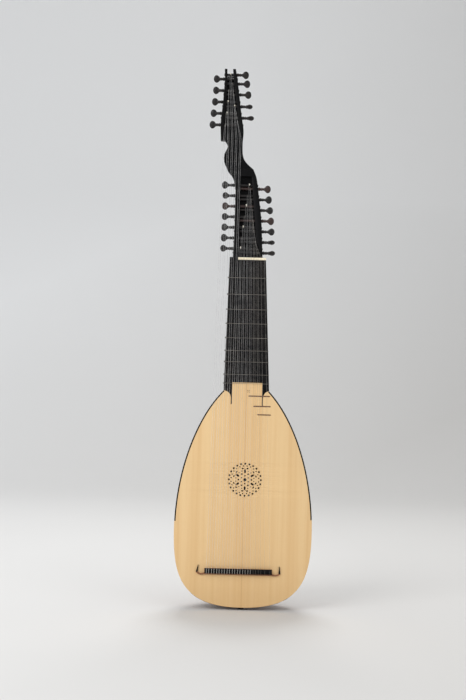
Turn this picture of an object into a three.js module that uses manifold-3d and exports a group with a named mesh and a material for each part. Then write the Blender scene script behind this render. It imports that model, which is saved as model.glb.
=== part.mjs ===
// A thirteen-course lute with a swan neck: a bowl of ribs, a carved rose, tied frets,
// a pegbox for the fretted strings and a second one above it for the long basses.
// Millimetres. +Z runs up the body, the soundboard faces -Y, the treble side is +X.
import * as THREE from "three";
import { mergeVertices } from "three/addons/utils/BufferGeometryUtils.js";
import Module from "manifold-3d";

const wasm = await Module();
wasm.setup();

// Heights are counted from the soundboard's lower edge and depths from its front face;
// the whole lute is then moved so that the end of the strap button is the origin.
const buttonDrop = 6.5;
const buttonAt = 20;
const gap = 0.3; // left between glued pieces
const boardThick = 1.8;
const shellThick = 2;
const ribs = 11;

const widest = 156.3;
const widestAt = 175.8;
const neckFoot = 491.5;
const footHalf = 51.6;

const nutFront = 788;
const nutThick = 6;
const nutLeft = -25.7;
const nutRight = 37.2;
const neckEnd = nutFront + nutThick;
const tongueEnd = 510;
const tongueLeft = -32.3;
const tongueRight = 35.8;

const pegboxEnd = 998;
const pegboxLean = Math.tan(THREE.MathUtils.degToRad(8));
const upperNut = 1058;
const headEnd = 1222;
const upperFront = 1.5;

const stringDepth = -1.8; // in front of the nuts
const bridgeTop = 88.5;
const bridgeLeft = -84.7;
const bridgeRight = 68.1;
const bridgeHole = -5.5;

const colours = {
  spruce: [0xe3c183, 0.5],
  softwood: [0xd9bd8c, 0.7],
  ribwood: [0x6b3a1e, 0.35],
  ebony: [0x15130f, 0.4],
  bone: [0xefe3c4, 0.4],
  bridgewood: [0x7c4424, 0.45],
  gut: [0xd8cba6, 0.5],
  steel: [0x8c8c8c, 0.4],
};

const lute = new THREE.Group();
lute.position.set(0, -buttonAt, buttonDrop);

function finish([color, roughness], metalness = 0) {
  return new THREE.MeshStandardMaterial({ color, roughness, metalness });
}

function solid(geometry) {
  const bare = geometry.clone();
  bare.deleteAttribute("normal");
  bare.deleteAttribute("uv");
  const merged = mergeVertices(bare, 1e-4);
  return new wasm.Manifold(
    new wasm.Mesh({
      numProp: 3,
      vertProperties: merged.attributes.position.array,
      triVerts: new Uint32Array(merged.index.array),
    }),
  );
}

function add(name, shape, colour, metalness) {
  let geometry = shape;
  if (!shape.isBufferGeometry) {
    const { vertProperties, triVerts } = shape.getMesh();
    geometry = new THREE.BufferGeometry()
      .setAttribute("position", new THREE.BufferAttribute(vertProperties, 3))
      .setIndex(new THREE.BufferAttribute(triVerts, 1));
    geometry.computeVertexNormals();
  }
  const mesh = new THREE.Mesh(geometry, finish(colours[colour], metalness));
  mesh.name = name;
  lute.add(mesh);
}

// A smooth value along the lute through [height, value] pairs.
function through(...pairs) {
  const heights = pairs.map((pair) => pair[0]);
  const values = pairs.map((pair) => pair[1]);
  const curve = new THREE.CubicInterpolant(heights, values, 1);
  return (z) => curve.evaluate(z)[0];
}

// A straight run between [height, value] pairs.
function straight(...pairs) {
  const heights = pairs.map((pair) => pair[0]);
  const values = pairs.map((pair) => pair[1]);
  const line = new THREE.LinearInterpolant(heights, values, 1);
  return (z) => line.evaluate(z)[0];
}

function heightsBetween(low, high, steps) {
  return Array.from({ length: steps + 1 }, (_, i) => low + ((high - low) * i) / steps);
}

function slab(x0, x1, y0, y1, z0, z1) {
  const box = new THREE.BoxGeometry(x1 - x0, y1 - y0, z1 - z0);
  return box.translate((x0 + x1) / 2, (y0 + y1) / 2, (z0 + z1) / 2);
}

// A flat piece: its outline in x and height, from its front face to its back face.
function plate(shape, front, back, curveSegments = 12) {
  const options = { depth: back - front, bevelEnabled: false, curveSegments };
  return new THREE.ExtrudeGeometry(shape, options).rotateX(Math.PI / 2).translate(0, back, 0);
}

// Sets a section, drawn in u from -1 to 1 and v from 0 to 1, between four edges.
function loft(section, heights, { left, right, front, back }) {
  const steps = heights.length - 1;
  const options = { depth: steps, steps, bevelEnabled: false, curveSegments: 8 };
  const geometry = new THREE.ExtrudeGeometry(section, options);
  const point = geometry.attributes.position;
  for (let i = 0; i < point.count; i++) {
    const z = heights[Math.round(point.getZ(i))];
    const x = THREE.MathUtils.lerp(left(z), right(z), (point.getX(i) + 1) / 2);
    const y = THREE.MathUtils.lerp(front(z), back(z), point.getY(i));
    point.setXYZ(i, x, y, z);
  }
  return geometry;
}

function halfRound() {
  const section = new THREE.Shape();
  section.moveTo(-1, 0);
  section.absellipse(0, 0, 1, 1, 0, Math.PI, false);
  section.closePath();
  return section;
}

// A square front with a rounded back, for the pegboxes and the swan neck.
function roundBacked(frontCut, backCut) {
  return new THREE.Shape([
    new THREE.Vector2(-1 + frontCut, 0),
    new THREE.Vector2(1 - frontCut, 0),
    new THREE.Vector2(1, frontCut),
    new THREE.Vector2(1, 1 - backCut),
    new THREE.Vector2(1 - backCut, 1),
    new THREE.Vector2(-1 + backCut, 1),
    new THREE.Vector2(-1, 1 - backCut),
    new THREE.Vector2(-1, frontCut),
  ]);
}

function square() {
  return new THREE.Shape([
    new THREE.Vector2(-1, 0),
    new THREE.Vector2(1, 0),
    new THREE.Vector2(1, 1),
    new THREE.Vector2(-1, 1),
  ]);
}

// A rod between two points, a little longer at both ends so that rods in a row join up.
function rod(from, to, radius, sides = 6) {
  const run = new THREE.Vector3().subVectors(to, from);
  const length = run.length() + radius;
  const turn = new THREE.Quaternion().setFromUnitVectors(
    new THREE.Vector3(0, 1, 0),
    run.clone().normalize(),
  );
  const middle = new THREE.Vector3().addVectors(from, to).multiplyScalar(0.5);
  return new THREE.CylinderGeometry(radius, radius, length, sides)
    .applyQuaternion(turn)
    .translate(middle.x, middle.y, middle.z);
}

// ---- the body

const lowerCurve = new THREE.CubicBezierCurve(
  new THREE.Vector2(0, 0),
  new THREE.Vector2(138.7, 0),
  new THREE.Vector2(widest, 70.4),
  new THREE.Vector2(widest, widestAt),
);
const upperCurve = new THREE.CubicBezierCurve(
  new THREE.Vector2(widest, widestAt),
  new THREE.Vector2(widest, 298.6),
  new THREE.Vector2(114.8, 426.5),
  new THREE.Vector2(footHalf, neckFoot),
);

// The treble half of the body's outline, moved in by a distance square to the edge.
function outline(inset, steps = 12, curves = [lowerCurve, upperCurve]) {
  const points = [];
  for (const curve of curves)
    for (let i = points.length ? 1 : 0; i <= steps; i++) {
      const along = curve.getTangent(i / steps);
      const at = curve.getPoint(i / steps);
      points.push(new THREE.Vector2(at.x - along.y * inset, at.y + along.x * inset));
    }
  return points;
}

const bowlDepth = through([-5, 0.96], [200, 0.95], [400, 0.8], [neckFoot, 0.64], [510, 0.62]);

// The space inside a bowl of flat ribs, whose wall is moved in by a distance.
function bowlShape(inset) {
  const points = outline(inset);
  points[0].x = 0;
  const last = points[points.length - 1];
  if (inset > 0) points.push(new THREE.Vector2(last.x - inset / 2, neckFoot + 4));
  points.push(new THREE.Vector2(0, points[points.length - 1].y));
  const geometry = new THREE.LatheGeometry(points, 2 * ribs, Math.PI / 2).rotateX(Math.PI / 2);
  const point = geometry.attributes.position;
  for (let i = 0; i < point.count; i++)
    point.setY(i, point.getY(i) * bowlDepth(point.getZ(i)));
  return solid(geometry);
}

const behindBoard = boardThick + gap;

// A round hole along the lute.
function upwardHole(radius, length, depth, height) {
  const hole = new THREE.CylinderGeometry(radius, radius, length, 12).rotateX(Math.PI / 2);
  return solid(hole.translate(0, depth, height));
}

function keep(shape, x0, x1, y0, y1, z0, z1) {
  return shape.intersect(solid(slab(x0, x1, y0, y1, z0, z1)));
}

function addBowl() {
  const shell = bowlShape(0).subtract(bowlShape(shellThick));
  const buttonHole = upwardHole(3.4, 60, buttonAt, 0);
  const behind = keep(shell, -200, 200, behindBoard, 200, -50, neckFoot);
  add("bowl", behind.subtract(buttonHole), "ribwood");
  const wrap = bowlShape(-1.3).subtract(bowlShape(-gap));
  const clasp = keep(wrap, -200, 200, behindBoard, 42, -50, 30);
  add("end_clasp", clasp.subtract(buttonHole), "ribwood");
  const lining = bowlShape(shellThick + gap).subtract(bowlShape(shellThick + 9));
  const liner = keep(lining, -200, 200, behindBoard, 34, -50, 34);
  add("end_liner", liner.subtract(buttonHole), "softwood");
}

function addStrapButton() {
  const profile = [
    [0, 10],
    [3, 10],
    [3, -1.9],
    [5, -2.1],
    [5.2, -2.9],
    [4, -3.6],
    [6.4, -4.6],
    [6.8, -5.6],
    [6, -buttonDrop],
    [0, -buttonDrop],
  ].map(([radius, height]) => new THREE.Vector2(radius, height));
  const knob = new THREE.LatheGeometry(profile.reverse(), 16).rotateX(Math.PI / 2);
  add("strap_button", knob.translate(0, buttonAt, 0), "ebony");
}

const screwAt = 15;
const screwHole = upwardHole(2.8, 90, screwAt, neckFoot);
const blockLow = 452;

function addNeckBlock() {
  const inside = bowlShape(shellThick + gap);
  const block = keep(inside, -200, 200, behindBoard, 200, blockLow, neckFoot - gap);
  add("neck_block", block.subtract(screwHole), "softwood");
  const profile = [
    [0, blockLow - 3.5],
    [5.5, blockLow - 3.5],
    [5.5, blockLow - gap],
    [2.5, blockLow - gap],
    [2.5, neckFoot + 34],
    [0, neckFoot + 40],
  ].map(([radius, height]) => new THREE.Vector2(radius, height));
  const screw = new THREE.LatheGeometry(profile, 12).rotateX(Math.PI / 2);
  add("neck_screw", screw.translate(0, screwAt, 0), "steel", 1);
}

// ---- the soundboard and what is let into it

const neckLeft = straight([neckFoot, -footHalf], [neckEnd, -44.9]);
const neckRight = straight([neckFoot, footHalf], [neckEnd, 36.9]);
const tipWide = 2.4;

// The fingerboard's outline, grown by a margin: two long points run down beside the
// soundboard's tongue, and the bass corner stands beside the nut.
function fingerboardShape(margin) {
  const shape = new THREE.Shape();
  const bassTip = tongueLeft - tipWide - margin;
  const trebleTip = tongueRight + tipWide + margin;
  shape.moveTo(neckLeft(neckFoot) - margin, neckFoot - margin);
  shape.quadraticCurveTo(bassTip - 1.8, 490 - margin, bassTip, 476);
  shape.lineTo(bassTip, 460 - margin);
  shape.lineTo(tongueLeft + margin, 460 - margin);
  shape.lineTo(tongueLeft + margin, tongueEnd - margin);
  shape.lineTo(tongueRight - margin, tongueEnd - margin);
  shape.lineTo(tongueRight - margin, 456 - margin);
  shape.lineTo(trebleTip, 456 - margin);
  shape.lineTo(trebleTip, 476);
  const corner = neckRight(neckFoot) + margin;
  shape.quadraticCurveTo(trebleTip + 1.8, 490 - margin, corner, neckFoot - margin);
  shape.lineTo(neckRight(nutFront), nutFront - gap);
  shape.lineTo(nutLeft - gap, nutFront - gap);
  shape.lineTo(nutLeft - gap, neckEnd);
  shape.lineTo(neckLeft(neckEnd), neckEnd);
  return shape;
}

function boardShape() {
  const treble = outline(0);
  const bass = treble.map((at) => new THREE.Vector2(-at.x, at.y)).reverse();
  const tongue = [
    [tongueRight, neckFoot],
    [tongueRight, tongueEnd],
    [tongueLeft, tongueEnd],
    [tongueLeft, neckFoot],
  ].map(([x, z]) => new THREE.Vector2(x, z));
  return new THREE.Shape([...treble, ...tongue, ...bass.slice(0, -1)]);
}

const edgingWide = 3;
const edgingThick = 0.9;

// The band along one side's upper edge, from a height to the neck.
function edgeBand(side, low, wide) {
  const inner = outline(wide, 16, [upperCurve]).filter((at) => at.y > low);
  const outer = outline(-4, 16, [upperCurve]).filter((at) => at.y > low);
  const first = new THREE.Vector2(inner[0].x, low);
  const start = new THREE.Vector2(outer[0].x, low);
  const band = [first, ...inner, ...outer.reverse(), start].reverse();
  return new THREE.Shape(band.map((at) => new THREE.Vector2(side * at.x, at.y)));
}

const edgings = [
  { name: "edging_bass", side: -1, low: 193 },
  { name: "edging_treble", side: 1, low: 202 },
];

const roseCentre = new THREE.Vector2(1.8, 290);
// How many holes stand in each ring, at which radius, how wide round the rose and how
// long outwards, and from which angle.
const roseRings = [
  { count: 1, radius: 0, wide: 7, long: 7, from: 0 },
  { count: 6, radius: 8.9, wide: 3.4, long: 3, from: 30 },
  { count: 6, radius: 14.6, wide: 4, long: 4, from: 0 },
  { count: 6, radius: 19, wide: 4.3, long: 8, from: 30 },
  { count: 6, radius: 20.7, wide: 2.6, long: 2.6, from: -10 },
  { count: 6, radius: 20.7, wide: 2.6, long: 2.6, from: 10 },
  { count: 6, radius: 26, wide: 4.4, long: 3, from: 17.5 },
  { count: 6, radius: 26, wide: 4.4, long: 3, from: 42.5 },
  { count: 24, radius: 31.5, wide: 2.8, long: 2.8, from: 7.5 },
  { count: 24, radius: 36.2, wide: 4.6, long: 4, from: 0 },
];

function addSoundboard() {
  const board = solid(plate(boardShape(), 0, boardThick));
  const fingerboardCut = solid(plate(fingerboardShape(gap), -5, 5));
  let carved = board.subtract(fingerboardCut);
  for (const { name, side, low } of edgings) {
    const rebate = plate(edgeBand(side, low - gap, edgingWide + gap), -1, edgingThick + gap);
    carved = carved.subtract(solid(rebate));
    const strip = solid(plate(edgeBand(side, low, edgingWide), -1, edgingThick));
    add(name, board.intersect(strip).subtract(fingerboardCut), "ebony");
  }
  for (const { count, radius, wide, long, from } of roseRings)
    for (let i = 0; i < count; i++) {
      const hole = new THREE.CylinderGeometry(0.5, 0.5, 10, 6).scale(long, 1, wide);
      hole.translate(radius, 0, 0);
      hole.rotateY(-THREE.MathUtils.degToRad(from + (360 * i) / count));
      carved = carved.subtract(solid(hole.translate(roseCentre.x, 0, roseCentre.y)));
    }
  add("soundboard", carved, "spruce");
}

const bars = [165, 232, 342, 386, 428];
const barTall = 13;

function addBars() {
  const room = bowlShape(shellThick + 1.5);
  bars.forEach((height, i) => {
    const low = height - 2.5;
    const bar = keep(room, -200, 200, behindBoard, behindBoard + barTall, low, low + 5);
    add(`soundboard_bar_${i + 1}`, bar, "softwood");
  });
}

const bodyFrets = [
  { step: 10, height: 480, from: 4.7, to: 54.6 },
  { step: 11, height: 457, from: 16.6, to: 56.3 },
  { step: 12, height: 438, from: 26.1, to: 57.3 },
];

function addBodyFrets() {
  for (const { step, height, from, to } of bodyFrets)
    add(`body_fret_${step}`, slab(from, to, -1.1, 0, height - 1.25, height + 1.25), "ebony");
}

// ---- the neck, its fingerboard and frets

const neckBack = straight([neckFoot, 33], [neckEnd, 26.5]);

function addNeck() {
  const edges = { left: neckLeft, right: neckRight, front: () => behindBoard, back: neckBack };
  const heights = heightsBetween(neckFoot + gap, neckEnd, 6);
  add("neck", solid(loft(halfRound(), heights, edges)).subtract(screwHole), "ebony");
  add("fingerboard", plate(fingerboardShape(0), 0, boardThick), "ebony");
}

const frets = [40.6, 78.3, 112.3, 144.5, 176.8, 205.8, 231, 259.9, 280];

// A ring of gut round the neck and fingerboard, with its knot at the bass edge.
function addTiedFret(step, height) {
  const thick = 1.05 - 0.03 * step;
  const ring = (clear) => {
    const edge = new THREE.Shape();
    const left = neckLeft(height) - clear;
    const right = neckRight(height) + clear;
    edge.moveTo(left, -clear);
    edge.lineTo(right, -clear);
    edge.lineTo(right, behindBoard);
    const across = (right - left) / 2;
    const deep = neckBack(height) - behindBoard + clear;
    edge.absellipse((left + right) / 2, behindBoard, across, deep, 0, Math.PI, false);
    return edge;
  };
  const outer = ring(gap + thick);
  outer.holes.push(ring(gap));
  const options = { depth: thick, bevelEnabled: false, curveSegments: 8 };
  const loop = new THREE.ExtrudeGeometry(outer, options).translate(0, 0, height - thick / 2);
  const knot = new THREE.SphereGeometry(1.7, 6, 4);
  knot.translate(neckLeft(height) - gap - thick - 1, 0.4, height);
  add(`tied_fret_${step}`, solid(loop).add(solid(knot)), "gut");
}

function addNuts() {
  const low = nutFront;
  add("nut", slab(nutLeft, nutRight, -1.3, boardThick, low, neckEnd), "bone");
  add("upper_nut", slab(-69, -23, -1.3, upperFront, upperNut + 1.5, upperNut + 5), "ebony");
}

// ---- the pegboxes

const lowerFront = (z) => boardThick + (z - neckEnd) * pegboxLean;
const lowerBox = {
  left: through(
    [neckEnd, -38.3],
    [858, -36.5],
    [926, -35.9],
    [955, -36.6],
    [978, -42.9],
    [991, -53.4],
    [pegboxEnd, -56.5],
  ),
  right: through([neckEnd, 29.3], [878, 24.8], [934, 18], [977, 11.7], [pegboxEnd, 3.7]),
  front: lowerFront,
  back: (z) => lowerFront(z) + 22 - (z - neckEnd) * 0.012,
};
const lowerChannel = {
  left: () => -25.5,
  right: straight([796, 27.8], [805, 24.2], [836, 14], [981, 0.5]),
  front: (z) => lowerFront(z) - 1,
  back: (z) => lowerBox.back(z) - 4.5,
};

const upperBox = {
  left: through([upperNut, -72.1], [1100, -73.3], [1141, -69.6], [1197, -66.5], [headEnd, -67.1]),
  right: through(
    [upperNut, -22],
    [1081, -20.9],
    [1112, -25.7],
    [1157, -31.9],
    [1200, -37.7],
    [headEnd, -42],
  ),
  front: (z) => upperFront + (z - upperNut) * 0.05,
  back: (z) => upperFront + 21 + (z - upperNut) * 0.02,
};
const upperChannel = {
  left: straight([1066, -68], [1112, -64.5], [1157, -62], [1200, -61], [headEnd + 8, -61.2]),
  right: straight([1066, -26], [1085, -29.5], [1112, -33.8], [1200, -46], [headEnd + 8, -49]),
  front: (z) => upperBox.front(z) - 1,
  back: (z) => upperBox.back(z) - 4.5,
};

const swan = {
  left: through(
    [pegboxEnd, -56.5],
    [1009, -61.8],
    [1020, -64.4],
    [1031, -62.3],
    [1046, -55.9],
    [upperNut + 2, -64],
  ),
  right: through(
    [pegboxEnd, 3.7],
    [1007, -7.2],
    [1017, -16.6],
    [1028, -21],
    [1040, -22.1],
    [upperNut + 2, -22.2],
  ),
  front: through([pegboxEnd, lowerFront(pegboxEnd)], [1012, 27], [1036, 9], [1060, upperFront]),
  back: through([pegboxEnd, lowerBox.back(pegboxEnd)], [1016, 45], [1042, 30], [1060, 22.5]),
};

const pegDepth = 7; // of a peg's axis behind its pegbox's front face
const shaftRadius = 3.4;
const shaftTaper = 1 / 60; // of radius, along the shaft
const shaftSides = 8;
const pegClearance = 0.05;
const stickOut = 1; // of the shaft's tip beyond the far wall

function evenly(first, spacing, count) {
  return Array.from({ length: count }, (_, i) => first + i * spacing);
}

// A peg's reach is from the pegbox's wall to the middle of its head.
const pegRows = [
  { row: "lower_bass", side: -1, box: lowerBox, reach: 23, heights: evenly(814, 24.4, 7) },
  { row: "lower_treble", side: 1, box: lowerBox, reach: 22, heights: evenly(805, 24.6, 7) },
  { row: "upper_bass", side: -1, box: upperBox, reach: 18.4, heights: evenly(1094.3, 26.3, 5) },
  {
    row: "upper_treble",
    side: 1,
    box: upperBox,
    reach: 20.8,
    heights: [1110.8, 1137, 1164.2, 1189, 1209.6],
  },
];

// Each peg with its height, the face its head stands out from, and its shaft's length.
const pegs = pegRows.flatMap(({ row, side, box, reach, heights }) =>
  heights.map((height, i) => {
    const near = side < 0 ? box.left(height) : box.right(height);
    const far = side < 0 ? box.right(height) : box.left(height);
    const depth = box.front(height) + pegDepth;
    const long = Math.abs(far - near);
    return { name: `peg_${row}_${i + 1}`, row, side, reach, height, near, depth, long };
  }),
);

// Turns a shape made along +Y into one that stands out of the peg's own side.
function seat(geometry, { side, near, depth, height }, turn = 0) {
  return geometry
    .rotateY(turn)
    .rotateZ((-side * Math.PI) / 2)
    .translate(near, depth, height);
}

function pegHole(peg) {
  const spread = 1 / Math.cos(Math.PI / shaftSides);
  const past = 12;
  const radiusAt = (inside) => (shaftRadius - inside * shaftTaper + pegClearance) * spread;
  const tip = peg.long + past;
  const hole = new THREE.CylinderGeometry(radiusAt(-past), radiusAt(tip), tip + past, shaftSides);
  return solid(seat(hole.translate(0, (past - tip) / 2, 0), peg));
}

const headSize = { across: 8.9, along: 6.8, thick: 4.2 };

function addPeg(peg) {
  const tip = -(peg.long + stickOut);
  const profile = [
    [0, tip],
    [shaftRadius + tip * shaftTaper, tip],
    [shaftRadius, 0.8],
    [4.2, 2],
    [3.1, 4],
    [2.9, peg.reach - 5],
    [0, peg.reach],
  ].map(([radius, along]) => new THREE.Vector2(radius, along));
  const shaft = new THREE.LatheGeometry(profile, shaftSides);
  const head = new THREE.SphereGeometry(1, 8, 6)
    .scale(headSize.across, headSize.along, headSize.thick)
    .translate(0, peg.reach, 0)
    .rotateY(Math.PI / 2);
  add(peg.name, solid(seat(shaft, peg)).add(solid(seat(head, peg))), "ebony");
}

function addPegboxes() {
  const lowerHeights = heightsBetween(neckEnd + gap, pegboxEnd, 14);
  let lower = solid(loft(roundBacked(0.05, 0.3), lowerHeights, lowerBox));
  const lowerRoom = [796, 805, 836, 981];
  lower = lower.subtract(solid(loft(square(), lowerRoom, lowerChannel)));

  const upperHeights = heightsBetween(upperNut, headEnd, 10);
  let upper = solid(loft(roundBacked(0.05, 0.25), upperHeights, upperBox));
  const swanHeights = heightsBetween(pegboxEnd + gap, upperNut + 1, 16);
  upper = upper.add(solid(loft(roundBacked(0.12, 0.3), swanHeights, swan)));
  const upperRoom = [1066, 1085, 1112, 1157, 1200, headEnd + 8];
  upper = upper.subtract(solid(loft(square(), upperRoom, upperChannel)));
  const fork = { ...upperChannel, back: () => 60 };
  upper = upper.subtract(solid(loft(square(), [1207, headEnd + 8], fork)));

  for (const peg of pegs) {
    if (peg.height < pegboxEnd) lower = lower.subtract(pegHole(peg));
    else upper = upper.subtract(pegHole(peg));
    addPeg(peg);
  }
  add("lower_pegbox", lower, "ebony");
  add("swan_neck", upper, "ebony");
}

// ---- the bridge and the strings

const bridgeLow = 74;
// Each spike's foot and tip, counted outwards from the bar's end, and their heights.
const trebleSpike = { inner: 15.2, outer: 19.3, foot: 78.5, tip: 16.9, top: 95.5 };
const bassSpike = { inner: 15.5, outer: 19.8, foot: 79.5, tip: 14.3, top: 95.8 };

// The base under the bar runs out on both sides in a thin arc that ends in a spike.
function bridgeShape() {
  const shape = new THREE.Shape();
  const inside = -0.5; // the arcs start inside the bar
  const dip = bridgeLow - 1.6;
  const right = (out) => bridgeRight + out;
  const left = (out) => bridgeLeft - out;
  const { inner, outer, foot, tip, top } = trebleSpike;
  shape.moveTo(right(inside), bridgeLow);
  shape.bezierCurveTo(right(6), dip, right(15), dip, right(outer), foot);
  shape.lineTo(right(tip), top);
  shape.lineTo(right(inner), foot + 0.6);
  shape.bezierCurveTo(right(11), dip + 3, right(5), dip + 3, right(inside), 79);
  shape.lineTo(right(inside), bridgeTop - 1);
  shape.lineTo(left(inside), bridgeTop - 1);
  shape.lineTo(left(inside), 79);
  const bass = bassSpike;
  shape.bezierCurveTo(left(5), dip + 3, left(11), dip + 3, left(bass.inner), bass.foot + 0.6);
  shape.lineTo(left(bass.tip), bass.top);
  shape.lineTo(left(bass.outer), bass.foot);
  shape.bezierCurveTo(left(15), dip, left(6), dip, left(inside), bridgeLow);
  return shape;
}

const bridgeSpacing = 11.75;
const bridgePair = 5.5;
const nutSpacing = 7.72;
const nutPair = 3.6;
const upperSpacing = 9.15;
const upperPair = 4;

// Where each string crosses the bridge and its nut, treble first. Courses 1 and 2 are
// single, the rest are pairs; courses 9 to 13 run over the upper nut.
function stringPaths() {
  const paths = [];
  for (let course = 0; course < 13; course++) {
    const long = course > 7;
    const sides = course < 2 ? [0] : [0.5, -0.5];
    for (const side of sides)
      paths.push({
        long,
        bridge: 63.3 - course * bridgeSpacing + side * bridgePair,
        nut: long
          ? -27.9 - (course - 8) * upperSpacing + side * upperPair
          : 33.3 - course * nutSpacing + side * nutPair,
      });
  }
  return paths;
}

// The outer strings of each box go to its nearest pegs, and the middle ones to its last.
function pegOrder(row) {
  const treble = pegs.filter((peg) => peg.row === `${row}_treble`);
  const bass = pegs.filter((peg) => peg.row === `${row}_bass`);
  return [...treble, ...bass.reverse()];
}

function addStrings(name, paths, order, nutHeight, radius, windings) {
  let strings = null;
  paths.forEach((path, i) => {
    const peg = order[i];
    const tail = new THREE.Vector3(path.bridge, bridgeHole, 75.5);
    const nut = new THREE.Vector3(path.nut, stringDepth, nutHeight);
    const front = peg.depth - shaftRadius - radius - gap;
    const end = new THREE.Vector3(windings[i], front, peg.height);
    const both = solid(rod(tail, nut, radius)).add(solid(rod(nut, end, radius)));
    strings = strings ? strings.add(both) : both;
  });
  const ends = [paths[0], paths[paths.length - 1]].map(
    ({ bridge }) => new THREE.Vector3(bridge, bridgeHole, 75.5),
  );
  add(name, strings.add(solid(rod(ends[0], ends[1], 0.5))), "gut");
}

function addBridge(paths) {
  let bridge = solid(plate(bridgeShape(), -3.5, 0, 6));
  bridge = bridge.add(solid(slab(bridgeLeft, bridgeRight, -8.4, -1, 77.5, bridgeTop)));
  for (const path of paths) {
    const drill = new THREE.CylinderGeometry(1.1, 1.1, 30, 6).rotateX(Math.PI / 2);
    bridge = bridge.subtract(solid(drill.translate(path.bridge, bridgeHole, 83)));
  }
  add("bridge", bridge, "bridgewood");
  const capHigh = bridgeTop + 0.5;
  add("bridge_cap", slab(bridgeLeft, bridgeRight, -9.7, -8.7, 77.3, capHigh), "ebony");
}

addSoundboard();
addBowl();
addStrapButton();
addNeckBlock();
addBars();
addBodyFrets();
addNeck();
frets.forEach((distance, i) => addTiedFret(i + 1, nutFront - distance));
addNuts();
addPegboxes();

const paths = stringPaths();
const fretted = paths.filter((path) => !path.long);
const basses = paths.filter((path) => path.long);
addBridge(paths);
const lowerWindings = [19, 12.5, 9, 6, 4, 1, -2, -6, -9, -12, -15, -18, -20.5, -22.9];
const upperWindings = [-37, -41, -45, -48, -52, -55, -57.5, -59.5, -61.5, -64];
addStrings("fretted_strings", fretted, pegOrder("lower"), neckEnd + 0.5, 0.35, lowerWindings);
addStrings("bass_strings", basses, pegOrder("upper"), upperNut + 5.5, 0.5, upperWindings);

export default lute;
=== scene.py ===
# A swan-neck lute for Blender 4.5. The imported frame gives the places; this script gives the looks.
import math
from math import cos, pi, radians, sin

import bpy
from mathutils import Matrix, Vector


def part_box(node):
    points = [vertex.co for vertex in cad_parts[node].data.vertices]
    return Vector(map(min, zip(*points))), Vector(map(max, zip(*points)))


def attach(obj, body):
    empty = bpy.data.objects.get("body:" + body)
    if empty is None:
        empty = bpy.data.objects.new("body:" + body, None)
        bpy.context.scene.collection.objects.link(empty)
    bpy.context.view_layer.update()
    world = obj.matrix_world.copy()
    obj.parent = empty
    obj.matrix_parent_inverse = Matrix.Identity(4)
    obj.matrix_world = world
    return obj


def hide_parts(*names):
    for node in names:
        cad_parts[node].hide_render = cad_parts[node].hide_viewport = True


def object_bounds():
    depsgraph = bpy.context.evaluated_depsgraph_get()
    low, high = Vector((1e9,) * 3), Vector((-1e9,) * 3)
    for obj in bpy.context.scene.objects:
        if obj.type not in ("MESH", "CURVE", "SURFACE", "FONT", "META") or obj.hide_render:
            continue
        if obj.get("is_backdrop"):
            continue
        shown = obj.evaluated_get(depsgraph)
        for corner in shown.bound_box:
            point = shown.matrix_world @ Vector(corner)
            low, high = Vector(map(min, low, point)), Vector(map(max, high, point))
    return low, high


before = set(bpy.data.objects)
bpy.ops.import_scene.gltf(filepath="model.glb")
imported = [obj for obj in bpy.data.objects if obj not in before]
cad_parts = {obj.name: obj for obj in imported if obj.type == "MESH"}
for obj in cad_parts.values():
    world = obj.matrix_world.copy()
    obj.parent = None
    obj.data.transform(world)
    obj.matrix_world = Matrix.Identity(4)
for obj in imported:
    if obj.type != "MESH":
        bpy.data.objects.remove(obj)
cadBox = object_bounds()
print("frame loaded:", len(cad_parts), "nodes")

mm = 0.001
fullTurn = 2 * pi
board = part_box("soundboard")[0]


def inRow(point):
    # pieces are drawn in millimetres, from the soundboard's front face and lower edge
    return Vector((point[0] * mm, board[1] + point[1] * mm, board[2] + point[2] * mm))


def drawnBox(node):
    # a node's box in the same drawing millimetres
    low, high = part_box(node)
    return [Vector((c[0], c[1] - board[1], c[2] - board[2])) / mm for c in (low, high)]


# ---------- mesh tools


def linked(name, data):
    made = bpy.data.objects.new(name, data)
    bpy.context.scene.collection.objects.link(made)
    return made


def spread(low, high, count):
    return [low + (high - low) * k / count for k in range(count + 1)]


def around(count):
    return [fullTurn * k / count for k in range(count)]


def makeMesh(name, verts, faces, sharpAngle=35):
    mesh = bpy.data.meshes.new(name)
    mesh.from_pydata([inRow(v) for v in verts], [], faces)
    mesh.validate()
    shade(mesh, sharpAngle)
    return linked(name, mesh)


def shade(mesh, sharpAngle):
    mesh.polygons.foreach_set("use_smooth", [True] * len(mesh.polygons))
    mesh.set_sharp_from_angle(angle=radians(sharpAngle))
    mesh.update()


def joined(parts):
    # several (verts, faces) pairs as one
    verts, faces = [], []
    for partVerts, partFaces in parts:
        start = len(verts)
        verts.extend(partVerts)
        faces.extend([tuple(start + i for i in face) for face in partFaces])
    return verts, faces


def skin(rings, loop=False, capped=True):
    # quads between rings of equal length; loop joins the last ring to the first
    count = len(rings[0])
    verts = [tuple(p) for ring in rings for p in ring]
    faces = []
    spans = len(rings) if loop else len(rings) - 1
    for r in range(spans):
        a, b = r * count, ((r + 1) % len(rings)) * count
        for i in range(count):
            j = (i + 1) % count
            faces.append((a + i, a + j, b + j, b + i))
    if capped and not loop:
        faces.append(tuple(reversed(range(count))))
        faces.append(tuple(range(len(verts) - count, len(verts))))
    return verts, faces


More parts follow.
